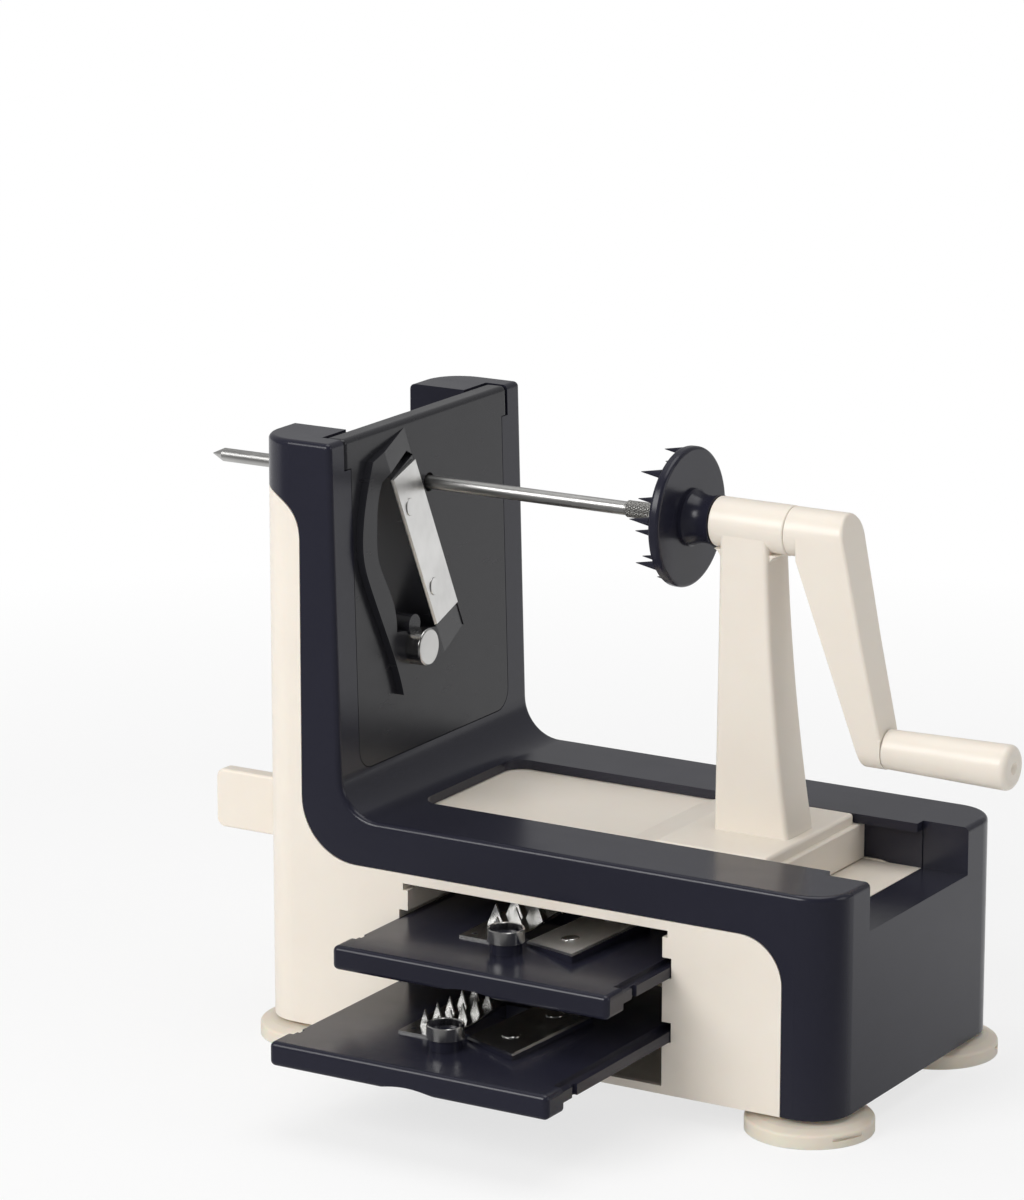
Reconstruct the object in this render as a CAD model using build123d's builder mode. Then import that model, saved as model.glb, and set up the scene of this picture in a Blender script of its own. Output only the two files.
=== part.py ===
from build123d import *
import os
from math import atan2, cos, degrees, radians, sin, tan

os.makedirs("parts", exist_ok=True)

# A hand-cranked spiralizer. Sizes are in millimetres. Lengths along the body are measured from its
# left (blade) end, widths from its middle plane with the near side negative, heights from the table.

# ---- body ----
body_length = 280.0
body_width = 156.0
body_corner = 18.0          # plan radius of the four upright corners
ground_gap = 10.0           # table to the underside of the base
deck_height = 106.0
column_height = 268.0
axis_height = 237.2         # crank, shaft and skewer axis
wall = 3.0
edge_round = 2.4

# ---- column ----
face_at_axis = 39.6         # left end to the column's front face, at the height of the axis
column_lean = 1.5           # degrees that the front face leans back
pillar_width = 30.0
cove_radius = 18.0          # hollow curve from the front face down to the deck
chute_front_height = 130.0
chute_back_height = 118.0

# ---- seam between the dark frame and the pale base ----
seam_column = 23.5
seam_height = 86.0
seam_end = 256.8
seam_top = 247.0
seam_shoulder = 225.0
seam_inner_radius = 27.0
seam_outer_radius = 20.0
seam_gap = 0.3

# ---- channel that the carriage runs in ----
channel_floor = 85.0
channel_width = 90.0
lip_overhang = 5.0
lip_thickness = 4.0
opening_left = 59.0
opening_corner = 9.0
end_wall = 21.5
end_notch_step = 0.6        # the notch in the end wall is wider than the channel, on each side
floor_end = 258.1           # right end of the pale channel floor
slide_gap = 0.4             # carriage to channel, all round

# ---- blade inserts ----
insert_length = 145.5
insert_top = column_height - axis_height
face_width = 123.0
rail_width = 132.0
shoulder_depth = 2.0
plate_thickness = 6.6
bar_height = 13.0
bar_width = 133.0
bar_thickness = 10.5
insert_corner = 9.0
insert_gap = 0.4            # insert to its seat, on each side
finger_width = 27.0
finger_depth = 2.2
notch_height = 8.0          # crank axis up to the clip notch in each rail
notch_length = 4.0
notch_depth = 1.6
axis_hole_radius = 4.2
blade_thickness = 1.2
rivet_radius = 3.9
rivet_height = 0.5
rivet_shank = 1.6
rivet_length = 5.0
blade_bevel = 0.8
bar_round = 2.4

# ---- ribbon insert: points from the crank axis, across and up its face ----
ribbon_boss = [(-19.0, 27.7), (-49.5, 18.3), (-56.1, 1.5), (-59.0, -12.0), (-59.0, -21.3),
               (-53.5, -36.7), (-43.4, -57.0), (-30.4, -88.0), (24.7, -68.9)]
ribbon_slot = [(-12.5, 14.5), (-18.5, 17.4), (-42.7, 8.5), (-46.5, 0.0), (-48.0, -12.0),
               (-47.8, -23.2), (-42.6, -34.7), (-34.6, -59.2), (-3.0, -63.5), (-34.1, 8.8)]
ribbon_boss_height = 3.4
ribbon_ramp = 8.7           # degrees that the ribbon blade is tipped up
ribbon_heading = 204.3      # direction that the ribbon blade climbs, seen on the face
ribbon_blade_shape = [(24.5, 10.7), (0.6, 16.4), (0.6, 93.1), (24.5, 87.7)]
ribbon_rivets = [(17.2, 29.8), (17.2, 72.3)]
stud_place = (-20.1, -68.2)
stud_radius = 8.2
stud_height = 10.6          # face to the stud's front end
stud_base_place = (-21.5, -58.5)
stud_base_radius = 4.6
stud_base_height = 4.2
stud_round = 0.9
stud_shank = 2.5
stud_shank_length = 7.0
boss_curve = (1, 7)         # first and last point of the boss's curved side
slot_curve = (2, 7)
chip_guide_far = [(-34.1, 8.8), (-3.0, -63.5), (-0.5, -66.0), (-31.7, 9.8)]
chip_guide_low = [(-36.0, -59.0), (-3.0, -63.5), (-0.5, -66.0), (-36.0, -61.4)]
chip_guide_depth = 20.0     # face to the back end of the guides behind the ribbon slot

# ---- noodle inserts: points from the crank axis, across and up their face ----
noodle_start = (-3.0, -12.0)
noodle_boss = [(-6.5, -10.6), (-31.9, 0.3), (-35.4, -59.6), (-11.5, -63.8)]
noodle_slot = [(4.0, -20.0), (-7.5, -17.0), (-11.0, -61.0), (7.0, -60.0)]
noodle_blade_shape = [(0.0, 0.0), (29.5, -13.0), (33.0, 48.0), (4.0, 54.0)]
noodle_rivets = [(16.5, 8.0), (18.5, 40.0)]
noodle_low = 0.7            # blade above the face at its cutting edge
coarse_high = 3.4           # blade above the face at its raised edge
fine_high = 2.3
comb_shape = [(26.8, -6.5), (8.5, -6.5), (5.2, -12.0), (5.2, -31.0), (8.2, -60.0), (27.5, -60.0)]
comb_thickness = 1.0
comb_hole_place = (22.4, -11.6)
comb_hole_radius = 1.3
coarse_rows = [(20.6, -25.8, 3), (10.6, -10.2, 4)]      # across, first tooth, teeth in the row
coarse_pitch = 15.4
coarse_tooth = 10.5
coarse_width = 9.0
fine_rows = [(20.0, -16.0, 5), (10.6, -11.1, 5)]
fine_pitch = 9.8
fine_tooth = 8.4
fine_width = 4.9
ring_radius = 8.0
ring_height = 10.5          # face to the ring's sharp end
ring_start = 4.8            # face to the ring's lower end
ring_seat = 2.0             # how far the ring is pushed over its post
ring_edge = 0.3
core_post_radius = 6.9
core_radius = 5.7

# ---- storage bay ----
bay_centre = 138.7
bay_width = face_width + 1.2
bay_top = 81.5
bay_bottom = 13.5
bay_depth = 136.0
bay_wall = 11.0
bay_step_height = 3.0
bay_step_depth = 2.4
groove_height = 8.7
store_upper = 68.0          # height of the upper stored insert's face
store_pitch = 28.0
pulled_upper = 40.0         # how far each stored insert is drawn out
pulled_lower = 88.0

# ---- carriage ----
tray_left = 6.0
tray_right = 231.0
block_toe = 157.0
block_left = 176.0
block_right = 228.4
block_height = 4.7          # above the tray
block_round = 1.6
tray_wall = 3.0
handle_shoulder = 1.0       # left end of the body to the handle
handle_reach = 43.3
handle_thickness = 8.0
handle_height = 26.6
handle_round = 4.0
handle_edge = 1.4
handle_place = 40.0         # middle plane to the handle's middle
tenon_length = 18.0
tenon_height = 10.0
handle_screw_length = 9.0
tower_left = 188.0
tower_foot_length = 35.5
tower_foot_width = 24.0
tower_mid_height = 178.5
tower_mid_length = 26.2
tower_mid_width = 21.6
tower_head_length = 22.4
tower_head_width = 20.2
tower_round = 2.2
tower_lean = 0.2
flare_height = 5.0          # hollow curves under the tower's head
flare_left = 3.4
flare_right = 4.4
flare_edge = 2.0            # tower's sides to the sides of the flares
hub_round = 0.8
hub_left = 183.1
hub_right = 218.5
hub_radius = 10.7
bush_radius = 7.0
bush_length = 9.0
bore_relief = 5.0
running_gap = 0.05
press_gap = 0.02

# ---- shaft, disc, skewer ----
shaft_radius = 4.0
disc_radius = 30.0
disc_thickness = 5.0
disc_back = 170.0
disc_round = 1.6
disc_hub_radius = 11.2
disc_hub_waist = 10.2
collar_radius = 12.4
collar_length = 2.0
collar_step = 0.7
prong_rings = [(27.3, 8, 84.0), (22.0, 10, 8.6)]        # circle, prongs on it, first angle
prong_radius = 2.0
prong_length = 10.0
prong_tip = 0.15
skewer_radius = 3.0
skewer_reach = 73.2         # tip beyond the left end of the body
skewer_point = 6.0
skewer_tip = 0.2
knurl_radius = 3.4
knurl_length = 35.0
socket_depth = 9.0
shaft_seat = 7.0            # shaft in the disc's hub

# ---- crank ----
body_gap = 0.3              # between neighbouring pieces that turn past each other
arm_hub_radius = 10.5
arm_bore = 20.0
arm_outline = [(218.8, 250.0), (243.6, 250.0), (245.6, 242.5), (255.6, 194.1), (264.4, 155.5),
               (264.4, 138.0), (256.0, 138.0), (253.9, 147.3), (238.1, 190.4), (224.7, 227.1),
               (224.7, 237.2), (218.8, 237.2)]
crank_radius = 87.7
arm_foot_radius = 8.7
arm_round = 1.5
knob_seam = 264.7
knob_end = 322.0
knob_small_radius = 8.4
knob_large_radius = 9.7
knob_round = 3.0
knob_dimple = 1.6
pin_radius = 3.0
pin_head_radius = 5.0
pin_head_height = 3.0
pin_grip = 9.0
cap_radius = 5.6
cap_height = 3.2

# ---- feet ----
foot_radius = 27.2
foot_inset = 20.0
foot_rim_height = 5.8
foot_lip = 2.4              # width of the flat ring that touches the table
foot_shoulder = 23.0
foot_top_radius = 11.0
foot_slope = 1.6
foot_edge = 1.4
foot_cup_height = 4.6
foot_neck_radius = 5.0
foot_bulb_radius = 6.5
foot_bulb_height = 5.0
foot_bulb_rim = 2.0
foot_pocket_height = 14.0
tab_width = 16.0
tab_slot = 1.4

# ---- screws ----
screw_radius = 1.5
screw_head_radius = 3.0
screw_head_height = 1.8
screw_length = 14.0
post_radius = 4.2
cover_thickness = 3.0
post_inset = 14.0           # sides of the body to the outer screw posts
frame_post_places = (54.0, 240.5)
cover_post_places = (42.0, 232.0)
middle_post_places = (14.0, 234.0)
end_chamfer = 0.5
past = 1.0                  # how far a cutting shape runs past the surface it opens
near = 0.01                 # how close two sizes are when they count as the same

# The origin lies on the table, under the middle of the whole part's outline.
half_width = body_width / 2
x_left = (skewer_reach - knob_end) / 2
y_mid = (pulled_lower + bar_height - (foot_radius - foot_inset)) / 2
knob_height = axis_height - crank_radius
crank_line = Axis((x_left, y_mid, axis_height), (1, 0, 0))
knob_line = Axis((x_left, y_mid, knob_height), (1, 0, 0))


def level(height):
    """Flat plane: sketch x runs along the body, sketch y across it."""
    return Plane((x_left, y_mid, height))


def lengthwise(across=0.0):
    """Upright plane along the body: sketch x along the body, sketch y up."""
    return Plane(origin=(x_left, y_mid + across, 0), x_dir=(1, 0, 0), z_dir=(0, -1, 0))


def crosswise(along, height=0.0):
    """Upright plane across the body: sketch x across, sketch y up, facing the crank end."""
    return Plane(origin=(x_left + along, y_mid, height), x_dir=(0, 1, 0), z_dir=(1, 0, 0))


def front_at(height):
    """Distance of the leaning front face from the left end, at a height."""
    return face_at_axis + (axis_height - height) * tan(radians(column_lean))


def save(piece, name):
    piece.part.label = name
    export_step(piece.part, f"parts/{name}.step")


column_face = Plane(
    origin=(x_left + face_at_axis, y_mid, axis_height),
    x_dir=(0, 1, 0),
    z_dir=(cos(radians(column_lean)), 0, sin(radians(column_lean))),
)


def stored_face(height, pulled):
    """Front face of an insert that lies in the storage bay, its top bar to the near side."""
    bar_front = y_mid - half_width - pulled - bar_height
    return Plane(
        origin=(x_left + bay_centre, bar_front + insert_top, height),
        x_dir=(-1, 0, 0),
        z_dir=(0, 0, 1),
    )


def block(along, across, heights, mode=Mode.SUBTRACT):
    """A box between two lengths, two widths and two heights, cut by default."""
    with BuildSketch(level(heights[0])) as outline:
        with Locations(((along[0] + along[1]) / 2, (across[0] + across[1]) / 2)):
            Rectangle(along[1] - along[0], across[1] - across[0])
    extrude(outline.sketch, amount=heights[1] - heights[0], mode=mode)


def both_sides(along, across, heights, mode=Mode.SUBTRACT):
    """The same box on the near and the far side."""
    block(along, across, heights, mode)
    block(along, (-across[1], -across[0]), heights, mode)


def rounds(plane, places, radius, amount, mode=Mode.ADD):
    """Round bars or holes of one size, standing on a plane."""
    with BuildSketch(plane) as outline:
        with Locations(*places):
            Circle(radius)
    extrude(outline.sketch, amount=amount, mode=mode)


def plate(plane, points, amount, mode=Mode.ADD):
    """A flat shape with straight sides, drawn on a plane and thickened."""
    with BuildSketch(plane) as outline:
        with BuildLine():
            Polyline(*points, close=True)
        make_face()
    extrude(outline.sketch, amount=amount, mode=mode)


def curved_plate(plane, points, curve, amount, mode=Mode.ADD):
    """The same, with one smooth curve through the points between two of its corners."""
    first, last = curve
    with BuildSketch(plane) as outline:
        with BuildLine():
            Spline(*points[first : last + 1])
            Polyline(*points[last:], *points[: first + 1])
        make_face()
    extrude(outline.sketch, amount=amount, mode=mode)


def turned(line, points):
    """A round body about a line along x: each point is a distance along the body and a radius."""
    height = line.position.Z
    first, last = points[0][0], points[-1][0]
    with BuildSketch(lengthwise()) as outline:
        with BuildLine():
            Polyline((first, height), *[(x, height + r) for x, r in points], (last, height), close=True)
        make_face()
    revolve(outline.sketch, axis=line)


def screws(plane, places, length=screw_length):
    """Pan-head screws, their heads' outer ends on the plane."""
    rounds(plane, places, screw_head_radius, screw_head_height)
    rounds(plane, places, screw_radius, screw_head_height + length)


# ======================================================================================
# outer form shared by the frame and the base
# ======================================================================================
front_at_deck = front_at(deck_height)
front_at_top = front_at(column_height)


def is_rim(edge):
    """Edges of the outer form above the deck that are rounded off."""
    centre = edge.center()
    along = centre.X - x_left
    across = abs(centre.Y - y_mid)
    if centre.Z < deck_height - past or centre.Z > column_height - past:
        return centre.Z > column_height - past
    if along < front_at_top - 2 * past:
        return False
    return across > half_width / 2 or along > body_length - past


with BuildPart() as envelope:
    with BuildSketch(level(ground_gap)):
        with Locations((body_length / 2, 0)):
            RectangleRounded(body_length, body_width, body_corner)
    extrude(amount=column_height - ground_gap)
    with BuildSketch(lengthwise()) as side_view:
        with BuildLine():
            Polyline(
                (0, ground_gap),
                (body_length, ground_gap),
                (body_length, deck_height),
                (front_at_deck, deck_height),
                (front_at_top, column_height),
                (0, column_height),
                close=True,
            )
        make_face()
        fillet(side_view.vertices().sort_by_distance((front_at_deck, deck_height))[0], radius=cove_radius)
    extrude(amount=body_width, both=True, mode=Mode.INTERSECT)
    fillet(envelope.edges().filter_by(is_rim), radius=edge_round)


def frame_region(gap=0.0):
    """Side view of everything above the seam, grown by the gap."""
    left = seam_column - gap
    low = seam_height - gap
    right = seam_end - gap
    with BuildLine() as outline:
        Spline(
            (-past, seam_top - gap),
            (left, seam_shoulder - gap),
            tangents=((1, -0.2), (0, -1)),
        )
        Line((left, seam_shoulder - gap), (left, low + seam_inner_radius))
        CenterArc((left + seam_inner_radius, low + seam_inner_radius), seam_inner_radius, 180, 90)
        Line((left + seam_inner_radius, low), (right - seam_outer_radius, low))
        CenterArc((right - seam_outer_radius, low - seam_outer_radius), seam_outer_radius, 0, 90)
        Polyline(
            (right, low - seam_outer_radius),
            (right, 0),
            (body_length + past, 0),
            (body_length + past, column_height + past),
            (-past, column_height + past),
            (-past, seam_top - gap),
        )
    with BuildSketch(lengthwise()) as region:
        make_face(outline.edges())
    return region.sketch


post_across = half_width - post_inset
frame_posts = [(along, side * post_across) for along in frame_post_places for side in (1, -1)]
cover_posts = [(along, side * post_across) for along in cover_post_places for side in (1, -1)]
cover_posts += [(along, 0.0) for along in middle_post_places]
foot_places = {
    "near_left": (foot_inset, foot_inset - half_width),
    "near_right": (body_length - foot_inset, foot_inset - half_width),
    "far_left": (foot_inset, half_width - foot_inset),
    "far_right": (body_length - foot_inset, half_width - foot_inset),
}
inner_floor = ground_gap + cover_thickness
channel_half = channel_width / 2
lip_half = channel_half - lip_overhang
lip_bottom = deck_height - lip_thickness
end_face = body_length - end_wall
chute_half = half_width - pillar_width
roof_bottom = channel_floor - wall


def cover_recess():
    """Room under the body for the bottom cover and the necks of the feet."""
    with BuildSketch(level(ground_gap - past)) as outline:
        with Locations((body_length / 2, 0)):
            RectangleRounded(body_length - 2 * wall, body_width - 2 * wall, body_corner - wall)
    extrude(outline.sketch, amount=cover_thickness + past, mode=Mode.SUBTRACT)
    rounds(
        level(ground_gap), foot_places.values(), foot_bulb_radius + foot_bulb_rim, foot_pocket_height,
        Mode.SUBTRACT,
    )


def chute():
    """Space behind the mounted insert, open to the left, that cut food falls through."""
    with BuildSketch(lengthwise()) as outline:
        with BuildLine():
            Polyline(
                (-past, chute_back_height),
                (front_at(chute_front_height) - plate_thickness, chute_front_height),
                (front_at_top - plate_thickness, column_height + past),
                (-past, column_height + past),
                close=True,
            )
        make_face()
    extrude(outline.sketch, amount=chute_half, both=True, mode=Mode.SUBTRACT)


def channel():
    block((-past, body_length + past), (-channel_half, channel_half), (channel_floor, lip_bottom))


# ======================================================================================
# frame_shell: dark column, deck and end wall
# ======================================================================================
with BuildPart() as frame_shell:
    add(envelope.part)
    extrude(frame_region(), amount=body_width, both=True, mode=Mode.INTERSECT)
    channel()
    with BuildSketch(level(lip_bottom - past)):
        with Locations(((opening_left + end_face) / 2 + opening_corner, 0)):
            RectangleRounded(end_face - opening_left + 2 * opening_corner, 2 * lip_half, opening_corner)
    extrude(amount=lip_thickness + 2 * past, mode=Mode.SUBTRACT)
    notch_half = channel_half + end_notch_step
    block((end_face, body_length + past), (-notch_half, notch_half), (channel_floor, deck_height + past))
    block(
        (seam_end - seam_outer_radius, floor_end + seam_gap),
        (-channel_half - seam_gap, channel_half + seam_gap),
        (roof_bottom - seam_gap, channel_floor),
    )
    chute()
    # seat of the mounted insert: face opening, rail groove and ear notches
    seat_bottom = insert_top - insert_length - insert_gap
    seat_height = 2 * insert_length
    groove_front = shoulder_depth - insert_gap
    groove_back = plate_thickness + insert_gap
    for width, front, back in ((face_width, -1, groove_front), (rail_width, groove_front, groove_back)):
        with BuildSketch(column_face.offset(-back)):
            with Locations((0, seat_bottom + seat_height / 2)):
                RectangleRounded(width + 2 * insert_gap, seat_height, insert_corner + insert_gap)
        extrude(amount=back - front, mode=Mode.SUBTRACT)
    with BuildSketch(column_face.offset(-bar_thickness - insert_gap)):
        with Locations((0, insert_top)):
            Rectangle(bar_width + 2 * insert_gap, 2 * (bar_height + insert_gap))
    extrude(amount=bar_thickness + insert_gap + past, mode=Mode.SUBTRACT)
    # hollows under the deck, in the pillars and in the end wall
    both_sides(
        (seam_column + seam_inner_radius, end_face - wall),
        (channel_half + wall, half_width - wall),
        (seam_height - past, lip_bottom),
    )
    both_sides(
        (seam_column - past, front_at_top - bar_thickness - insert_gap - past),
        (chute_half + wall, half_width - wall),
        (chute_front_height, seam_shoulder),
    )
    block(
        (seam_end + wall, body_length - wall),
        (body_corner - half_width, half_width - body_corner),
        (ground_gap - past, roof_bottom),
    )
    cover_recess()
    rounds(level(seam_height), frame_posts, post_radius, lip_bottom - seam_height)
    rounds(level(roof_bottom), frame_posts, screw_radius + press_gap, screw_length + past, Mode.SUBTRACT)
save(frame_shell, "frame_shell")

# ======================================================================================
# base_shell: pale body with the channel floor and the storage bay
# ======================================================================================
bay_left = bay_centre - bay_width / 2
bay_right = bay_centre + bay_width / 2
bay_back = bay_depth - half_width
groove_half = rail_width / 2 + insert_gap
upper_groove = store_upper - plate_thickness - insert_gap
grooves = (
    (upper_groove, groove_height, groove_half),
    (upper_groove - store_pitch, groove_height, groove_half),
    (bay_top - bay_step_height, bay_step_height, bay_width / 2 + bay_step_depth),
)

with BuildPart() as base_shell:
    add(envelope.part)
    extrude(frame_region(seam_gap), amount=body_width, both=True, mode=Mode.SUBTRACT)
    channel()
    chute()
    # inside, open below
    with BuildSketch(level(ground_gap - past)):
        with Locations(((seam_end - seam_gap) / 2, 0)):
            RectangleRounded(seam_end - seam_gap - 2 * wall, body_width - 2 * wall, body_corner - wall)
    extrude(amount=roof_bottom - ground_gap + past, mode=Mode.SUBTRACT)
    both_sides(
        (body_corner / 2, seam_column + past),
        (chute_half + wall, half_width - body_corner / 2),
        (channel_floor + body_corner, seam_shoulder),
    )
    # storage bay: two grooved side walls and a back wall
    for side in ((bay_left - bay_wall, bay_left), (bay_right, bay_right + bay_wall)):
        block(side, (wall - half_width, bay_back), (inner_floor, roof_bottom), Mode.ADD)
    block(
        (bay_left - bay_wall, bay_right + bay_wall),
        (bay_back, bay_back + wall),
        (inner_floor, roof_bottom),
        Mode.ADD,
    )
    block((bay_left, bay_right), (-half_width - past, wall - half_width), (bay_bottom, bay_top))
    for bottom, height, half in grooves:
        block(
            (bay_centre - half, bay_centre + half),
            (-half_width - past, bay_back),
            (bottom, bottom + height),
        )
    block((bay_right, floor_end), (-channel_half, channel_half), (roof_bottom, channel_floor), Mode.ADD)
    rounds(level(inner_floor), cover_posts, post_radius, roof_bottom - inner_floor)
    rounds(level(ground_gap), cover_posts, screw_radius + press_gap, screw_length + 4 * past, Mode.SUBTRACT)
    rounds(
        level(roof_bottom - past), frame_posts, screw_radius + insert_gap, wall + 2 * past,
        Mode.SUBTRACT,
    )
    cover_recess()
save(base_shell, "base_shell")

# ======================================================================================
# bottom_cover, screws and feet
# ======================================================================================
with BuildPart() as bottom_cover:
    with BuildSketch(level(ground_gap)):
        with Locations((body_length / 2, 0)):
            RectangleRounded(
                body_length - 2 * (wall + body_gap),
                body_width - 2 * (wall + body_gap),
                body_corner - wall - body_gap,
            )
    extrude(amount=cover_thickness)
    head_room = screw_head_radius + body_gap
    rounds(level(ground_gap), cover_posts, head_room, screw_head_height, Mode.SUBTRACT)
    rounds(level(ground_gap), cover_posts, screw_radius + press_gap, cover_thickness, Mode.SUBTRACT)
    rounds(
        level(ground_gap), foot_places.values(), foot_neck_radius + press_gap, cover_thickness,
        Mode.SUBTRACT,
    )
save(bottom_cover, "bottom_cover")

with BuildPart() as base_screws:
    screws(level(ground_gap), cover_posts)
save(base_screws, "base_screws")

with BuildPart() as frame_screws:
    screws(level(roof_bottom - screw_head_height), frame_posts)
save(frame_screws, "frame_screws")

for name, (along, across) in foot_places.items():
    with BuildPart() as foot:
        middle = (x_left + along, y_mid + across, 0)
        with BuildSketch(Plane(origin=middle, x_dir=(1, 0, 0), z_dir=(0, -1, 0))):
            with BuildLine():
                bead = foot_radius - foot_lip
                Polyline(
                    (0, foot_cup_height),
                    (bead, 0),
                    (foot_radius, 0),
                    (foot_radius, foot_rim_height),
                    (foot_shoulder, foot_rim_height + foot_slope),
                    (foot_top_radius, ground_gap - body_gap),
                    (foot_neck_radius, ground_gap - body_gap),
                    (foot_neck_radius, inner_floor + body_gap),
                    (foot_bulb_radius, inner_floor + body_gap),
                    (foot_bulb_radius, inner_floor + foot_bulb_rim),
                    (foot_neck_radius, inner_floor + foot_bulb_height),
                    (0, inner_floor + foot_bulb_height),
                    (0, foot_cup_height),
                )
            make_face()
        revolve(axis=Axis((x_left + along, y_mid + across, 0), (0, 0, 1)))
        fillet(foot.edges().filter_by(GeomType.CIRCLE).filter_by(
            lambda edge: abs(edge.radius - foot_radius) < near and edge.center().Z > past), radius=foot_edge)
        # pull tab: a slot under a lip on the side that stands out from the body
        outward = degrees(atan2(across, along - body_length / 2))
        with BuildSketch(level(foot_rim_height - 2 * tab_slot)):
            with Locations((along, across)):
                with PolarLocations(foot_radius, 1, start_angle=outward):
                    SlotOverall(tab_width, 2 * tab_slot, rotation=90)
        extrude(amount=tab_slot, mode=Mode.SUBTRACT)
    save(foot, f"foot_{name}")

# ======================================================================================
# blade inserts
# ======================================================================================


def on_face(face, across, up, out=0.0):
    return face.from_local_coords(Vector(across, up, out))


def out_of(face):
    """Line that stands on a plane, to sort edges and faces by their height above it."""
    return Axis(face.origin, face.z_dir)


def blade_bed(face, start, heading, tip, lift=0.0):
    """Tipped plane that a blade lies on: sketch x climbs from the start along the heading."""
    turn, rise = radians(heading), radians(tip)
    climb = on_face(face, cos(turn) * cos(rise), sin(turn) * cos(rise), sin(rise)) - face.origin
    out = on_face(face, -cos(turn) * sin(rise), -sin(turn) * sin(rise), cos(rise)) - face.origin
    return Plane(origin=on_face(face, *start, lift), x_dir=climb, z_dir=out)


def on_bar_end(place):
    """Whether the middle of an edge lies on the bar's end face or along one of its corners."""
    corner = (
        abs(abs(place.X) - bar_width / 2) < near
        and abs(abs(place.Z + bar_thickness / 2) - bar_thickness / 2) < near
    )
    return abs(place.Y - insert_top) < near or (corner and place.Y > insert_top - bar_height + near)


def insert_plate(face, bed, boss, boss_height, slot, rivets, hole_radius, ribbon=False):
    """One moulded insert, in any position: its rails, top bar, blade boss and throat slot."""
    rail_length = insert_length - bar_height
    rail_middle = insert_top - bar_height - rail_length / 2
    behind = face.offset(-plate_thickness - past)
    with BuildPart() as piece:
        for width, front in ((face_width, 0), (rail_width, shoulder_depth)):
            with BuildSketch(face.offset(-plate_thickness)):
                with Locations((0, rail_middle)):
                    RectangleRounded(width, rail_length, insert_corner)
                with Locations((0, rail_middle + rail_length / 4)):
                    Rectangle(width, rail_length / 2)
            extrude(amount=plate_thickness - front)
        with BuildSketch(behind):
            with Locations((-rail_width / 2, notch_height), (rail_width / 2, notch_height)):
                Rectangle(2 * notch_depth, notch_length)
        extrude(amount=plate_thickness + 2 * past, mode=Mode.SUBTRACT)
        with BuildSketch(face.offset(-bar_thickness)):
            with Locations((0, insert_top - bar_height / 2)):
                Rectangle(bar_width, bar_height)
        extrude(amount=bar_thickness)
        fillet(
            piece.edges().filter_by(lambda edge: on_bar_end(face.to_local_coords(edge.center()))),
            radius=bar_round,
        )
        # finger grip across the back of the bar
        scoop = (finger_width**2 / 4 + finger_depth**2) / (2 * finger_depth)
        across_bar = Plane(
            origin=on_face(face, 0, insert_top - bar_height), x_dir=face.x_dir, z_dir=face.y_dir
        )
        rounds(across_bar, [(0, bar_thickness + scoop - finger_depth)], scoop, bar_height, Mode.SUBTRACT)
        # boss, cut off along the bed that the blade lies on
        if ribbon:
            curved_plate(face, boss, boss_curve, boss_height)
            for guide in (chip_guide_far, chip_guide_low):
                plate(face.offset(-chip_guide_depth), guide, chip_guide_depth)
        else:
            plate(face, boss, boss_height)
        with BuildSketch(bed):
            with Locations((insert_length, 0)):
                Rectangle(2 * insert_length, 2 * insert_length)
        extrude(amount=insert_length, mode=Mode.SUBTRACT)
        if ribbon:
            curved_plate(behind, slot, slot_curve, 4 * plate_thickness, Mode.SUBTRACT)
            rounds(
                face.offset(-plate_thickness),
                [stud_base_place],
                stud_base_radius,
                plate_thickness + stud_base_height,
            )
        else:
            plate(behind, slot, 4 * plate_thickness, Mode.SUBTRACT)
            rounds(face, [(0, 0)], core_post_radius, ring_start + ring_seat)
        rounds(behind, [(0, 0)], hole_radius, 4 * plate_thickness, Mode.SUBTRACT)
        rounds(bed, rivets, rivet_shank + press_gap, blade_thickness - rivet_length, Mode.SUBTRACT)
        if ribbon:
            stud_foot = face.offset(ribbon_boss_height)
            rounds(stud_foot, [stud_place], stud_radius + press_gap, stud_height, Mode.SUBTRACT)
            rounds(stud_foot, [stud_place], stud_shank + press_gap, -stud_shank_length, Mode.SUBTRACT)
    return piece


def blade(bed, shape, rivets):
    """Flat blade on its bed, sharpened along the side from its first corner to its last."""
    with BuildPart() as piece:
        plate(bed, shape, blade_thickness)
        middle = on_face(
            bed, (shape[0][0] + shape[-1][0]) / 2, (shape[0][1] + shape[-1][1]) / 2, blade_thickness
        )
        chamfer(piece.edges().sort_by_distance(middle)[0], length=blade_bevel)
        rounds(bed, rivets, rivet_shank + press_gap, blade_thickness, Mode.SUBTRACT)
    return piece


def blade_rivets(bed, rivets):
    top = bed.offset(blade_thickness)
    with BuildPart() as piece:
        rounds(top, rivets, rivet_radius, rivet_height)
        chamfer(piece.edges().group_by(out_of(bed))[-1], length=rivet_height / 2)
        rounds(top, rivets, rivet_shank, -rivet_length)
    return piece


def coring_ring(face):
    start = face.offset(ring_start)
    with BuildPart() as piece:
        rounds(start, [(0, 0)], ring_radius, ring_height - ring_start)
        rounds(start, [(0, 0)], core_post_radius + press_gap, ring_height, Mode.SUBTRACT)
        chamfer(piece.edges().group_by(out_of(face))[-1], length=ring_edge)
    return piece


def comb(face, rows, pitch, width, height):
    """Sheet comb on the face: a flat plate with rows of pointed teeth that stand across it."""
    with BuildPart() as piece:
        plate(face, comb_shape, comb_thickness)
        rounds(face, [comb_hole_place], comb_hole_radius, comb_thickness, Mode.SUBTRACT)
        for across, first, count in rows:
            for index in range(count):
                foot = on_face(face, across, first - pitch * index)
                upright = Plane(origin=foot, x_dir=face.x_dir, z_dir=-face.y_dir)
                plate(upright, [(-width / 2, 0), (width / 2, 0), (0, height)], comb_thickness)
    return piece


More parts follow.
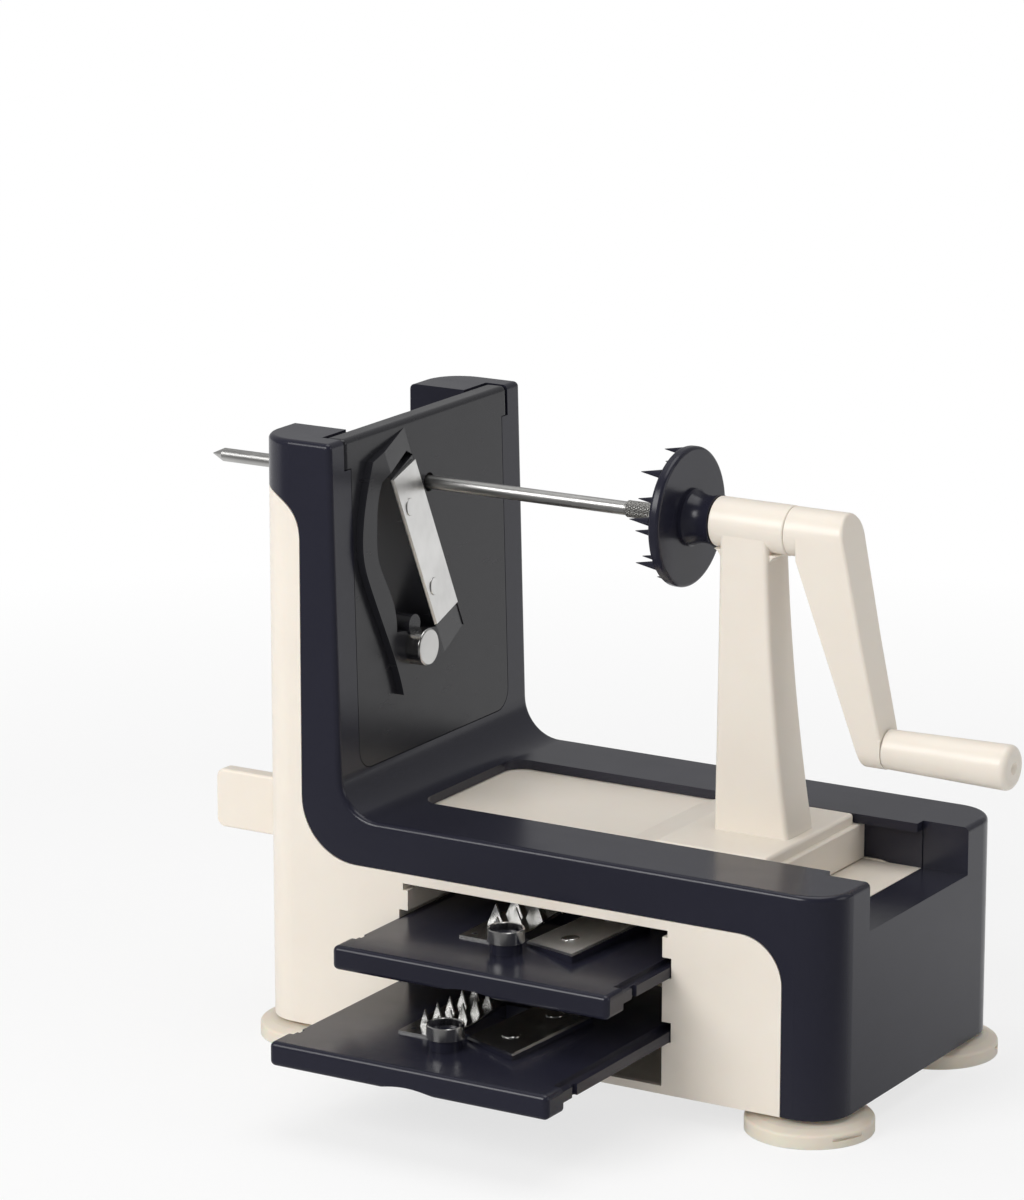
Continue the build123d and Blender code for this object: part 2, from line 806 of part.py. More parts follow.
# ribbon insert, mounted in the column
ribbon_bed = blade_bed(column_face, ribbon_boss[0], ribbon_heading, ribbon_ramp)
save(
    insert_plate(
        column_face, ribbon_bed, ribbon_boss, ribbon_boss_height, ribbon_slot, ribbon_rivets,
        axis_hole_radius, ribbon=True,
    ),
    "ribbon_insert_plate",
)
save(blade(ribbon_bed, ribbon_blade_shape, ribbon_rivets), "ribbon_blade")
save(blade_rivets(ribbon_bed, ribbon_rivets), "ribbon_blade_rivets")

with BuildPart() as ribbon_stud:
    stud_foot = column_face.offset(ribbon_boss_height)
    rounds(stud_foot, [stud_place], stud_radius, stud_height - ribbon_boss_height)
    fillet(ribbon_stud.edges().group_by(out_of(column_face))[-1], radius=stud_round)
    rounds(stud_foot, [stud_place], stud_shank, -stud_shank_length)
save(ribbon_stud, "ribbon_stud")

# noodle inserts, stored in the bay
for name, face, high, teeth in (
    (
        "coarse",
        stored_face(store_upper, pulled_upper),
        coarse_high,
        (coarse_rows, coarse_pitch, coarse_width, coarse_tooth),
    ),
    (
        "fine",
        stored_face(store_upper - store_pitch, pulled_lower),
        fine_high,
        (fine_rows, fine_pitch, fine_width, fine_tooth),
    ),
):
    run = noodle_blade_shape[1][0]
    bed = blade_bed(face, noodle_start, 180, degrees(atan2(high - noodle_low, run)), noodle_low)
    save(
        insert_plate(face, bed, noodle_boss, 2 * high, noodle_slot, noodle_rivets, core_radius),
        f"{name}_insert_plate",
    )
    save(blade(bed, noodle_blade_shape, noodle_rivets), f"{name}_blade")
    save(blade_rivets(bed, noodle_rivets), f"{name}_blade_rivets")
    save(coring_ring(face), f"{name}_coring_ring")
    save(comb(face, *teeth), f"{name}_comb")

# ======================================================================================
# carriage
# ======================================================================================
tray_half = channel_half - slide_gap
tray_bottom = channel_floor + slide_gap
tray_top = lip_bottom - slide_gap
block_top = tray_top + block_height
block_half = lip_half - slide_gap
tenon_middle = (tray_bottom + tray_top) / 2
tenon_end = tray_left + tenon_length
screw_edge = 5.0
tower_right = tower_left + tower_foot_length
tower_places = [
    (along, side * (tower_foot_width / 2 - screw_edge))
    for along in (tower_left + screw_edge, tower_right - screw_edge)
    for side in (-1, 1)
]
tenon_places = [
    (tray_left + screw_edge, -handle_place),
    (tenon_end - screw_edge, -handle_place),
]

with BuildPart() as carriage_tray:
    block((tray_left, tray_right), (-tray_half, tray_half), (tray_bottom, tray_top), Mode.ADD)
    with BuildSketch(level(tray_top)):
        with Locations(((block_toe + block_right + opening_corner) / 2, 0)):
            RectangleRounded(
                block_right + opening_corner - block_toe, 2 * block_half, opening_corner
            )
    extrude(amount=block_height)
    with BuildSketch(lengthwise()):
        with BuildLine():
            Polyline(
                (block_toe - past, tray_top),
                (block_toe, tray_top),
                (block_left, block_top),
                (block_right, block_top),
                (block_right, tray_top),
                (body_length, tray_top),
                (body_length, block_top + past),
                (block_toe - past, block_top + past),
                close=True,
            )
        make_face()
    extrude(amount=channel_half, both=True, mode=Mode.SUBTRACT)
    fillet(
        carriage_tray.edges().filter_by(
            lambda edge: edge.center().Z > tray_top + slide_gap / 2
            and edge.center().X > x_left + block_left + slide_gap
        ),
        radius=block_round,
    )
    chamfer(
        carriage_tray.edges().filter_by(Axis.Y).filter_by(
            lambda edge: edge.center().X > x_left + tray_right - near
        ),
        length=body_gap * 2,
    )
    block(
        (tenon_end + tray_wall, tray_right - tray_wall),
        (tray_wall - tray_half, tray_half - tray_wall),
        (tray_bottom - past, tray_top - tray_wall),
    )
    block(
        (block_left, block_right - tray_wall),
        (tray_wall - block_half, block_half - tray_wall),
        (tray_bottom - past, block_top - tray_wall),
    )
    tenon_room = slide_gap / 4
    tenon_half = handle_thickness / 2 + tenon_room
    block(
        (tray_left - past, tenon_end + tenon_room),
        (-handle_place - tenon_half, -handle_place + tenon_half),
        (tenon_middle - tenon_height / 2 - tenon_room, tenon_middle + tenon_height / 2 + tenon_room),
    )
    rounds(level(tray_bottom - past), tenon_places, head_room, past + screw_head_height, Mode.SUBTRACT)
    rounds(level(tray_bottom), tenon_places, screw_radius + press_gap, tenon_height / 2, Mode.SUBTRACT)
    rounds(
        level(block_top - tray_wall - past), tower_places, screw_radius + press_gap,
        tray_wall + 2 * past, Mode.SUBTRACT,
    )
save(carriage_tray, "carriage_tray")

with BuildPart() as pull_handle:
    with BuildSketch(lengthwise(-handle_place)):
        with Locations((-handle_shoulder - handle_reach / 2, (tray_bottom + tray_top) / 2)):
            RectangleRounded(handle_reach, handle_height, handle_round)
    extrude(amount=handle_thickness / 2, both=True)
    fillet(
        pull_handle.edges().filter_by(lambda edge: abs(edge.center().Y - y_mid + handle_place) > 1),
        radius=handle_edge,
    )
    block(
        (-handle_shoulder - handle_round, tenon_end),
        (-handle_place - handle_thickness / 2, -handle_place + handle_thickness / 2),
        (tenon_middle - tenon_height / 2, tenon_middle + tenon_height / 2),
        Mode.ADD,
    )
    rounds(
        level(tray_bottom), tenon_places, screw_radius + press_gap, handle_screw_length + 2 * past,
        Mode.SUBTRACT,
    )
save(pull_handle, "pull_handle")

with BuildPart() as handle_screws:
    screws(level(tray_bottom), tenon_places, handle_screw_length - screw_head_height)
save(handle_screws, "handle_screws")

with BuildPart() as carriage_tower:
    for height, length, width, left in (
        (block_top, tower_foot_length, tower_foot_width, tower_left),
        (tower_mid_height, tower_mid_length, tower_mid_width, tower_left + tower_lean),
        (axis_height, tower_head_length, tower_head_width, tower_left + 2 * tower_lean),
    ):
        with BuildSketch(level(height)):
            with Locations((left + length / 2, 0)):
                RectangleRounded(length, width, tower_round)
    loft()
    hub_bottom = axis_height - hub_radius
    head_left = tower_left + 2 * tower_lean
    for edge_line, reach in (
        (head_left, -flare_left), (head_left + tower_head_length, flare_right)
    ):
        with BuildSketch(lengthwise()) as flare:
            with BuildLine():
                outer = (edge_line + reach, hub_bottom + hub_round)
                foot = (edge_line, hub_bottom - flare_height)
                ThreePointArc(outer, (edge_line + reach / 4, hub_bottom - flare_height / 4), foot)
                inner = edge_line - reach
                Polyline(foot, (inner, foot[1]), (inner, outer[1]), outer)
            make_face()
        extrude(amount=tower_head_width / 2 - flare_edge, both=True)
    with BuildSketch(crosswise(hub_left)):
        with Locations((0, axis_height)):
            Circle(hub_radius)
    extrude(amount=hub_right - hub_left)
    fillet(
        carriage_tower.edges().filter_by(GeomType.CIRCLE).filter_by(
            lambda edge: abs(edge.radius - hub_radius) < near and edge.center().Z > axis_height - past
        ),
        radius=hub_round,
    )
    for start, length, radius in (
        (hub_left - past, hub_right - hub_left + 2 * past, bore_relief),
        (hub_left - past, bush_length + past, bush_radius + press_gap),
        (hub_right - bush_length, bush_length + past, bush_radius + press_gap),
    ):
        with BuildSketch(crosswise(start)):
            with Locations((0, axis_height)):
                Circle(radius)
        extrude(amount=length, mode=Mode.SUBTRACT)
    rounds(level(block_top - past), tower_places, screw_radius + press_gap, screw_length, Mode.SUBTRACT)
save(carriage_tower, "carriage_tower")

with BuildPart() as tower_screws:
    screws(level(block_top - tray_wall - screw_head_height), tower_places)
save(tower_screws, "tower_screws")

for name, start in (("front_bush", hub_left), ("rear_bush", hub_right - bush_length)):
    with BuildPart() as bush:
        with BuildSketch(crosswise(start)):
            with Locations((0, axis_height)):
                Circle(bush_radius)
                Circle(shaft_radius + running_gap, mode=Mode.SUBTRACT)
        extrude(amount=bush_length)
    save(bush, name)

# ======================================================================================
# spindle: shaft, prong disc and crank
# ======================================================================================
disc_front = disc_back - disc_thickness
disc_hub_end = hub_left - body_gap
arm_start = hub_right + body_gap
shaft_left = disc_hub_end - shaft_seat
shaft_right = arm_start + arm_bore

with BuildPart() as drive_shaft:
    turned(
        crank_line,
        [
            (shaft_left, shaft_radius - end_chamfer),
            (shaft_left + end_chamfer, shaft_radius),
            (shaft_right - end_chamfer, shaft_radius),
            (shaft_right, shaft_radius - end_chamfer),
        ],
    )
save(drive_shaft, "drive_shaft")

with BuildPart() as prong_disc:
    with BuildSketch(lengthwise()):
        with BuildLine():
            Polyline(
                (disc_front, axis_height),
                (disc_front, axis_height + disc_radius),
                (disc_back, axis_height + disc_radius),
                (disc_back, axis_height + collar_radius),
                (disc_back + collar_length - collar_step, axis_height + collar_radius),
                (disc_back + collar_length, axis_height + collar_radius - collar_step),
            )
            ThreePointArc(
                (disc_back + collar_length, axis_height + collar_radius - collar_step),
                ((disc_back + disc_hub_end) / 2, axis_height + disc_hub_waist),
                (disc_hub_end, axis_height + disc_hub_radius),
            )
            Polyline(
                (disc_hub_end, axis_height + disc_hub_radius),
                (disc_hub_end, axis_height),
                (disc_front, axis_height),
            )
        make_face()
    revolve(axis=crank_line)
    fillet(
        prong_disc.edges().filter_by(GeomType.CIRCLE).filter_by(
            lambda edge: abs(edge.radius - disc_radius) < near
        ),
        radius=disc_round,
    )
    prong_face = Plane(
        origin=(x_left + disc_front, y_mid, axis_height), x_dir=(0, 1, 0), z_dir=(-1, 0, 0)
    )
    for circle, count, first_angle in prong_rings:
        with Locations(prong_face):
            with PolarLocations(circle, count, start_angle=-first_angle):
                Cone(
                    prong_radius,
                    prong_tip,
                    prong_length,
                    align=(Align.CENTER, Align.CENTER, Align.MIN),
                )
    rounds(prong_face, [(0, 0)], knurl_radius + running_gap, -socket_depth, Mode.SUBTRACT)
    rounds(
        crosswise(shaft_left - end_chamfer, axis_height), [(0, 0)], shaft_radius + press_gap,
        shaft_seat + 2 * past, Mode.SUBTRACT,
    )
save(prong_disc, "prong_disc")

with BuildPart() as crank_arm:
    with BuildSketch(lengthwise()):
        with BuildLine():
            Polyline(*arm_outline, close=True)
        make_face()
    extrude(amount=2 * arm_hub_radius, both=True)
    with BuildSketch(crosswise(arm_start)):
        with Locations((0, axis_height)):
            Circle(arm_hub_radius)
        with Locations((0, knob_height)):
            Circle(arm_foot_radius)
        make_hull()
    extrude(amount=3 * arm_hub_radius * 2, mode=Mode.INTERSECT)
    outer_rim = crank_arm.faces().filter_by(
        lambda face: face.normal_at().X > 0.9 and face.center().Z > knob_height + 2 * arm_foot_radius
        and face.area > 100
    )
    fillet(outer_rim.sort_by(SortBy.AREA)[-1].outer_wire().edges().filter_by(
        lambda edge: edge.center().Z > knob_height + 2 * arm_foot_radius), radius=arm_round)
    rounds(crosswise(arm_start, axis_height), [(0, 0)], arm_hub_radius, arm_hub_radius)
    rounds(crosswise(arm_start - past, axis_height), [(0, 0)], shaft_radius + press_gap, arm_bore + past + end_chamfer,
           Mode.SUBTRACT)
    rounds(crosswise(knob_seam - body_gap + past, knob_height), [(0, 0)], pin_radius + press_gap,
           -pin_grip - 2 * past, Mode.SUBTRACT)
save(crank_arm, "crank_arm")

pin_head_start = knob_end - cap_height - body_gap - pin_head_height
with BuildPart() as knob_pin:
    turned(
        knob_line,
        [
            (knob_seam - body_gap - pin_grip + end_chamfer, pin_radius),
            (pin_head_start, pin_radius),
            (pin_head_start, pin_head_radius),
            (pin_head_start + pin_head_height, pin_head_radius),
        ],
    )
save(knob_pin, "knob_pin")

with BuildPart() as crank_knob:
    turned(
        knob_line,
        [(knob_seam, knob_small_radius), (knob_end, knob_large_radius)],
    )
    fillet(
        crank_knob.edges().filter_by(GeomType.CIRCLE).filter_by(
            lambda edge: edge.center().X > x_left + knob_end - past
        ),
        radius=knob_round,
    )
    knob_face = crosswise(knob_end + past, knob_height)
    for radius, depth in (
        (pin_radius + running_gap, knob_end - knob_seam + 2 * past),
        (pin_head_radius + body_gap, cap_height + pin_head_height + 2 * body_gap + past),
        (cap_radius + press_gap, cap_height + past),
    ):
        rounds(knob_face, [(0, 0)], radius, -depth, Mode.SUBTRACT)
save(crank_knob, "crank_knob")

with BuildPart() as knob_cap:
    turned(
        knob_line,
        [
            (knob_end - cap_height, cap_radius),
            (knob_end, cap_radius),
            (knob_end, cap_radius / 2),
            (knob_end - knob_dimple, cap_radius / 6),
        ],
    )
save(knob_cap, "knob_cap")

# ======================================================================================
# skewer
# ======================================================================================
skewer_end = disc_front + socket_depth - running_gap
with BuildPart() as skewer:
    turned(
        crank_line,
        [
            (-skewer_reach, skewer_tip),
            (skewer_point - skewer_reach, skewer_radius),
            (skewer_end - knurl_length - end_chamfer, skewer_radius),
            (skewer_end - knurl_length, knurl_radius),
            (skewer_end - end_chamfer, knurl_radius),
            (skewer_end, knurl_radius - end_chamfer),
        ],
    )
save(skewer, "skewer")
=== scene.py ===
import bpy, bmesh, math
from mathutils import Matrix, Vector


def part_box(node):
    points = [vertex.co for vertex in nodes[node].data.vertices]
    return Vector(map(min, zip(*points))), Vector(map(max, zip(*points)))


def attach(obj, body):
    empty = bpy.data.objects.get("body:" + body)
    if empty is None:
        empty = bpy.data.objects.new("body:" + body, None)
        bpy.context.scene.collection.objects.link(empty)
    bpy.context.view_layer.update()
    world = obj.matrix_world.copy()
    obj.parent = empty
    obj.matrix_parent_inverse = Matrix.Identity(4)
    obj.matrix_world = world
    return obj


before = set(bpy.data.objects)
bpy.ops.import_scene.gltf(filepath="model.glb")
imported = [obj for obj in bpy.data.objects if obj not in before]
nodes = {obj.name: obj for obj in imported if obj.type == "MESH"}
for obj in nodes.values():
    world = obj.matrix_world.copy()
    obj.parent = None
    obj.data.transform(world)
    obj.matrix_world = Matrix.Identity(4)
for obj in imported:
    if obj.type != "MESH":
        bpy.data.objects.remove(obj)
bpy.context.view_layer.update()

# ---------------------------------------- places from the frame, in metres
MM = 0.001
skewer_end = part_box("skewer")[1].x
disc_low, disc_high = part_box("prong_disc")
AXIS_Y = (disc_low.y + disc_high.y) / 2
AXIS_Z = (disc_low.z + disc_high.z) / 2
X_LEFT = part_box("frame_shell")[0].x

# knurled sleeve on the skewer: grooves along two opposite helices
KNURL_START = 0.0347            # back from the skewer's seated end to the sleeve's left end
KNURL_STOP = 164.6 * MM         # from the body's left side to the sleeve's right end
KNURL_WAVES = 9                 # sine waves round the sleeve, with two grooves each
KNURL_PITCH = 2.2 * MM          # from groove to groove, along the axis
GROOVE_RADIUS, RIDGE_HEIGHT = 3.36, 0.3     # in millimetres
RIDGE_SLOPE = 1.8               # above 1, the ridges have flat tops
KNURL_AROUND, KNURL_ALONG = 72, 150         # points of a ring, steps along the sleeve

# lamps, in watts
KEY, TOP, SIDE, LOW = 27, 14, 4, 5
# strength of the world: in diffuse light, then in gloss at the front and at the back
WORLD_FILL, FRONT_WORLD, BACK_WORLD = 0.48, 0.1, 0.5
# strength of the floor in gloss, at the front and at the back
FRONT_FLOOR, BACK_FLOOR = 0.2, 0.85
FLOOR_HALF = 30
FACING = math.radians(28)       # from +Y to the studio's back, anticlockwise from above
NEAR_SCALE = 1.1                # one over the radius in which the floor is shaded
NEAR_WHITE = 0.72               # share of plain white in the floor under the object
DARK_IOR = 1.42                 # of the dark plastics, for weaker reflections
FOOT_TRANSMISSION = 0.12

# camera: focal length and frame height in pixels, sensor in millimetres, place in metres
FOCAL, FRAME_HEIGHT, SENSOR = 5205.2575, 1200, 36
CAMERA_PLACE = (1.07916, -1.822008, 0.736557)
CAMERA_TURN, CAMERA_PITCH = math.radians(30.9797), math.radians(14.0807)


# ---------------------------------------- node helpers
def material(name):
    m = bpy.data.materials.new(name)
    m.use_nodes = True
    nt = m.node_tree
    nt.nodes.clear()
    out = nt.nodes.new("ShaderNodeOutputMaterial")
    bsdf = nt.nodes.new("ShaderNodeBsdfPrincipled")
    nt.links.new(bsdf.outputs[0], out.inputs["Surface"])
    return m, nt, bsdf


def node(nt, kind, **settings):
    n = nt.nodes.new(kind)
    for key, value in settings.items():
        setattr(n, key, value)
    return n


def coords(nt, scale=(1, 1, 1), rotation=(0, 0, 0)):
    tex = node(nt, "ShaderNodeTexCoord")
    mapping = node(nt, "ShaderNodeMapping")
    mapping.inputs["Scale"].default_value = scale
    mapping.inputs["Rotation"].default_value = rotation
    nt.links.new(tex.outputs["Object"], mapping.inputs["Vector"])
    return mapping.outputs["Vector"]


def noise(nt, vector, scale, detail, rough=0.55):
    n = node(nt, "ShaderNodeTexNoise")
    n.inputs["Scale"].default_value = scale
    n.inputs["Detail"].default_value = detail
    n.inputs["Roughness"].default_value = rough
    nt.links.new(vector, n.inputs["Vector"])
    return n.outputs["Fac"]


def remap(nt, value, low, high, start=0.3, stop=0.7):
    """From low to high, as the value goes from start to stop."""
    n = node(nt, "ShaderNodeMapRange")
    n.inputs["From Min"].default_value = start
    n.inputs["From Max"].default_value = stop
    n.inputs["To Min"].default_value = low
    n.inputs["To Max"].default_value = high
    nt.links.new(value, n.inputs["Value"])
    return n.outputs["Result"]


def blend_colours(nt, factor, first, second):
    n = node(nt, "ShaderNodeMix", data_type="RGBA")
    n.inputs[6].default_value = (*first, 1)
    n.inputs[7].default_value = (*second, 1)
    nt.links.new(factor, n.inputs[0])
    return n.outputs[2]


def combine(nt, operation, first, second):
    n = node(nt, "ShaderNodeMath", operation=operation)
    nt.links.new(first, n.inputs[0])
    nt.links.new(second, n.inputs[1])
    return n.outputs[0]


def pick(nt, factor, first, second):
    """First where the factor is 0, second where it is 1. Each is a number or a socket."""
    n = node(nt, "ShaderNodeMix", data_type="FLOAT")
    nt.links.new(factor, n.inputs[0])
    for value, socket in ((first, n.inputs[2]), (second, n.inputs[3])):
        if isinstance(value, float):
            socket.default_value = value
        else:
            nt.links.new(value, socket)
    return n.outputs[0]


def by_depth(nt, front, back, start, stop):
    """A level that goes from front to back of the studio, between two depths."""
    place = node(nt, "ShaderNodeSeparateXYZ")
    nt.links.new(coords(nt, rotation=(0, 0, -FACING)), place.inputs[0])
    return remap(nt, place.outputs["Y"], front, back, start, stop)


def bump(nt, bsdf, heights):
    """Chains bumps: each is (height, strength, distance in metres)."""
    last = None
    for height, strength, distance in heights:
        b = node(nt, "ShaderNodeBump")
        b.inputs["Strength"].default_value = strength
        b.inputs["Distance"].default_value = distance
        nt.links.new(height, b.inputs["Height"])
        if last is not None:
            nt.links.new(last, b.inputs["Normal"])
        last = b.outputs["Normal"]
    nt.links.new(last, bsdf.inputs["Normal"])


# ---------------------------------------- materials
def moulded(name, light, dark, rough_low, rough_high, grain, subsurface=0.0):
    """Injection-moulded plastic: mottling, handling marks in the gloss, grain, sink waves."""
    m, nt, bsdf = material(name)
    v = coords(nt)
    cloud = remap(nt, noise(nt, v, scale=26, detail=4), 0, 1)
    nt.links.new(blend_colours(nt, cloud, light, dark), bsdf.inputs["Base Color"])
    smear = noise(nt, coords(nt, (1, 1, 3)), scale=60, detail=5, rough=0.6)
    nt.links.new(remap(nt, smear, rough_low, rough_high), bsdf.inputs["Roughness"])
    fine = noise(nt, v, scale=2600, detail=2)
    slow = noise(nt, v, scale=34, detail=2)
    bump(nt, bsdf, [(slow, 0.03, 0.002), (fine, grain, 0.00004)])
    bsdf.inputs["IOR"].default_value = 1.5
    if subsurface:
        bsdf.inputs["Subsurface Weight"].default_value = subsurface
        bsdf.inputs["Subsurface Radius"].default_value = (1.0, 0.55, 0.3)
        bsdf.inputs["Subsurface Scale"].default_value = 0.0025
    return m


def steel(name, colour, rough_low, rough_high, scale, stretch, grain):
    """Metal with fine lines along one direction: stretch is small along the lines."""
    m, nt, bsdf = material(name)
    lines = noise(nt, coords(nt, stretch), scale, detail=3, rough=0.6)
    cloud = remap(nt, noise(nt, coords(nt), scale=40, detail=3), 0, 1)
    shade = tuple(c * 0.82 for c in colour)
    nt.links.new(blend_colours(nt, cloud, colour, shade), bsdf.inputs["Base Color"])
    nt.links.new(remap(nt, lines, rough_low, rough_high), bsdf.inputs["Roughness"])
    bump(nt, bsdf, [(lines, grain, 0.00003)])
    bsdf.inputs["Metallic"].default_value = 1.0
    return m


navy = moulded(
    "dark_gloss_plastic", (0.0165, 0.0165, 0.0275), (0.0155, 0.0156, 0.0258), 0.2, 0.26, 0.05
)
# a greyer, slightly lighter copy of the dark plastic for the mounted insert plate on the
# column's front: the grey is painted sheen, standing in for the bright back of the studio
# reflected in that face; its roughness is a little higher
navy_painted_grey_sheen = moulded(
    "dark_plastic_painted_grey_sheen", (0.0215, 0.0215, 0.0255), (0.02, 0.02, 0.0238), 0.22, 0.28, 0.06
)
for plastic in (navy, navy_painted_grey_sheen):
    plastic.node_tree.nodes["Principled BSDF"].inputs["IOR"].default_value = DARK_IOR
cream = moulded(
    "pale_plastic", (0.82, 0.755, 0.665), (0.80, 0.73, 0.64), 0.28, 0.4, 0.12, 0.1
)
cream_cover = moulded(
    "pale_plastic_underside", (0.74, 0.68, 0.58), (0.70, 0.64, 0.54), 0.45, 0.6, 0.4, 0.08
)
soft = moulded("foot_elastomer", (0.84, 0.77, 0.66), (0.80, 0.72, 0.60), 0.38, 0.5, 0.2, 0.5)
soft_inputs = soft.node_tree.nodes["Principled BSDF"].inputs
soft_inputs["Transmission Weight"].default_value = FOOT_TRANSMISSION

ground_steel = steel(
    "ground_blade_steel", (0.74, 0.735, 0.72), 0.16, 0.24, 1400, (1, 0.06, 1), 0.04
)
blade_steel = steel(
    "brushed_blade_steel", (0.86, 0.855, 0.84), 0.3, 0.4, 1400, (1, 0.35, 0.06), 0.06
)
turned_steel = steel("turned_steel", (0.66, 0.655, 0.64), 0.14, 0.26, 700, (1, 0.08, 0.08), 0.2)
skewer_steel = steel("drawn_steel", (0.60, 0.595, 0.58), 0.3, 0.4, 800, (0.05, 1, 1), 0.05)
knurl_steel = steel("knurled_steel", (0.36, 0.355, 0.34), 0.34, 0.45, 900, (1, 1, 1), 0.1)
screw_steel = steel("screw_steel", (0.5, 0.5, 0.5), 0.25, 0.4, 600, (1, 1, 0.1), 0.2)
bronze = steel("bearing_bronze", (0.62, 0.42, 0.2), 0.3, 0.45, 500, (1, 0.2, 0.2), 0.2)

# the feet are soft, and what isn't listed is a set of screws
looks = {
    # the mounted insert plate takes the dark plastic with painted grey sheen
    "frame_shell": navy, "prong_disc": navy, "ribbon_insert_plate": navy_painted_grey_sheen,
    "coarse_insert_plate": navy, "fine_insert_plate": navy,
    "base_shell": cream, "carriage_tray": cream, "carriage_tower": cream, "pull_handle": cream,
    "crank_arm": cream, "crank_knob": cream, "knob_cap": cream, "bottom_cover": cream_cover,
    "ribbon_blade": blade_steel, "coarse_blade": blade_steel, "fine_blade": ground_steel,
    "coarse_comb": ground_steel, "fine_comb": ground_steel,
    "ribbon_stud": turned_steel, "coarse_coring_ring": turned_steel,
    "fine_coring_ring": turned_steel, "ribbon_blade_rivets": blade_steel,
    "coarse_blade_rivets": ground_steel, "fine_blade_rivets": ground_steel,
    "skewer": skewer_steel, "drive_shaft": skewer_steel, "knob_pin": skewer_steel,
    "front_bush": bronze, "rear_bush": bronze,
}
for name, obj in nodes.items():
    look = looks.get(name) or (soft if name.startswith("foot_") else screw_steel)
    obj.data.materials.clear()
    obj.data.materials.append(look)


# ---------------------------------------- knurled sleeve on the skewer
def knurl():
    start = skewer_end - KNURL_START
    end = X_LEFT + KNURL_STOP
    mesh = bpy.data.meshes.new("skewer_knurl")
    bm = bmesh.new()
    rings = []
    for i in range(KNURL_ALONG + 1):
        x = start + (end - start) * i / KNURL_ALONG
        wave = (x - start) / KNURL_PITCH * math.pi
        ring = []
        for j in range(KNURL_AROUND):
            turn = 2 * math.pi * j / KNURL_AROUND
            left_hand = abs(math.sin(KNURL_WAVES * turn + wave))
            right_hand = abs(math.sin(KNURL_WAVES * turn - wave))
            rise = min(1, RIDGE_SLOPE * min(left_hand, right_hand))
            r = (GROOVE_RADIUS + RIDGE_HEIGHT * rise) * MM
            y, z = AXIS_Y + r * math.cos(turn), AXIS_Z + r * math.sin(turn)
            ring.append(bm.verts.new((x, y, z)))
        rings.append(ring)
    for near, far in zip(rings, rings[1:]):
        for j in range(KNURL_AROUND):
            k = (j + 1) % KNURL_AROUND
            bm.faces.new((near[j], near[k], far[k], far[j]))
    bm.faces.new(list(reversed(rings[0])))
    bm.faces.new(rings[-1])
    bmesh.ops.recalc_face_normals(bm, faces=bm.faces)
    bm.to_mesh(mesh)
    bm.free()
    obj = bpy.data.objects.new("skewer_knurl", mesh)
    bpy.context.scene.collection.objects.link(obj)
    mesh.materials.append(knurl_steel)
    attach(obj, "skewer")


knurl()


# ---------------------------------------- floor, light, camera
def floor_look():
    """Plain white to the camera, shaded near the object, and in gloss brighter at the back."""
    floor_mat, nt, bsdf = material("floor")
    bsdf.inputs["Base Color"].default_value = (0.86, 0.86, 0.86, 1)
    bsdf.inputs["Roughness"].default_value = 0.6
    bsdf.inputs["Specular IOR Level"].default_value = 0.2
    glow = node(nt, "ShaderNodeEmission")
    path = node(nt, "ShaderNodeLightPath")
    mix = node(nt, "ShaderNodeMixShader")
    near = node(nt, "ShaderNodeTexGradient", gradient_type="SPHERICAL")
    nt.links.new(coords(nt, (NEAR_SCALE,) * 3), near.inputs["Vector"])
    share = remap(nt, near.outputs["Fac"], 1.0, NEAR_WHITE, 0.0, 0.45)
    seen = combine(nt, "MULTIPLY", path.outputs["Is Camera Ray"], share)
    lit = combine(nt, "MAXIMUM", seen, path.outputs["Is Glossy Ray"])
    nt.links.new(lit, mix.inputs[0])
    bright = by_depth(nt, FRONT_FLOOR, BACK_FLOOR, -0.18, 0.12)
    level = pick(nt, path.outputs["Is Glossy Ray"], 1.0, bright)
    nt.links.new(level, glow.inputs["Strength"])
    nt.links.new(bsdf.outputs[0], mix.inputs[1])
    nt.links.new(glow.outputs[0], mix.inputs[2])
    nt.links.new(mix.outputs[0], nt.nodes["Material Output"].inputs["Surface"])
    return floor_mat


mesh = bpy.data.meshes.new("floor")
corners = [(x * FLOOR_HALF, y * FLOOR_HALF, 0) for x, y in ((-1, -1), (1, -1), (1, 1), (-1, 1))]
mesh.from_pydata(corners, [], [(0, 1, 2, 3)])
mesh.materials.append(floor_look())
floor = bpy.data.objects.new("floor", mesh)
bpy.context.scene.collection.objects.link(floor)


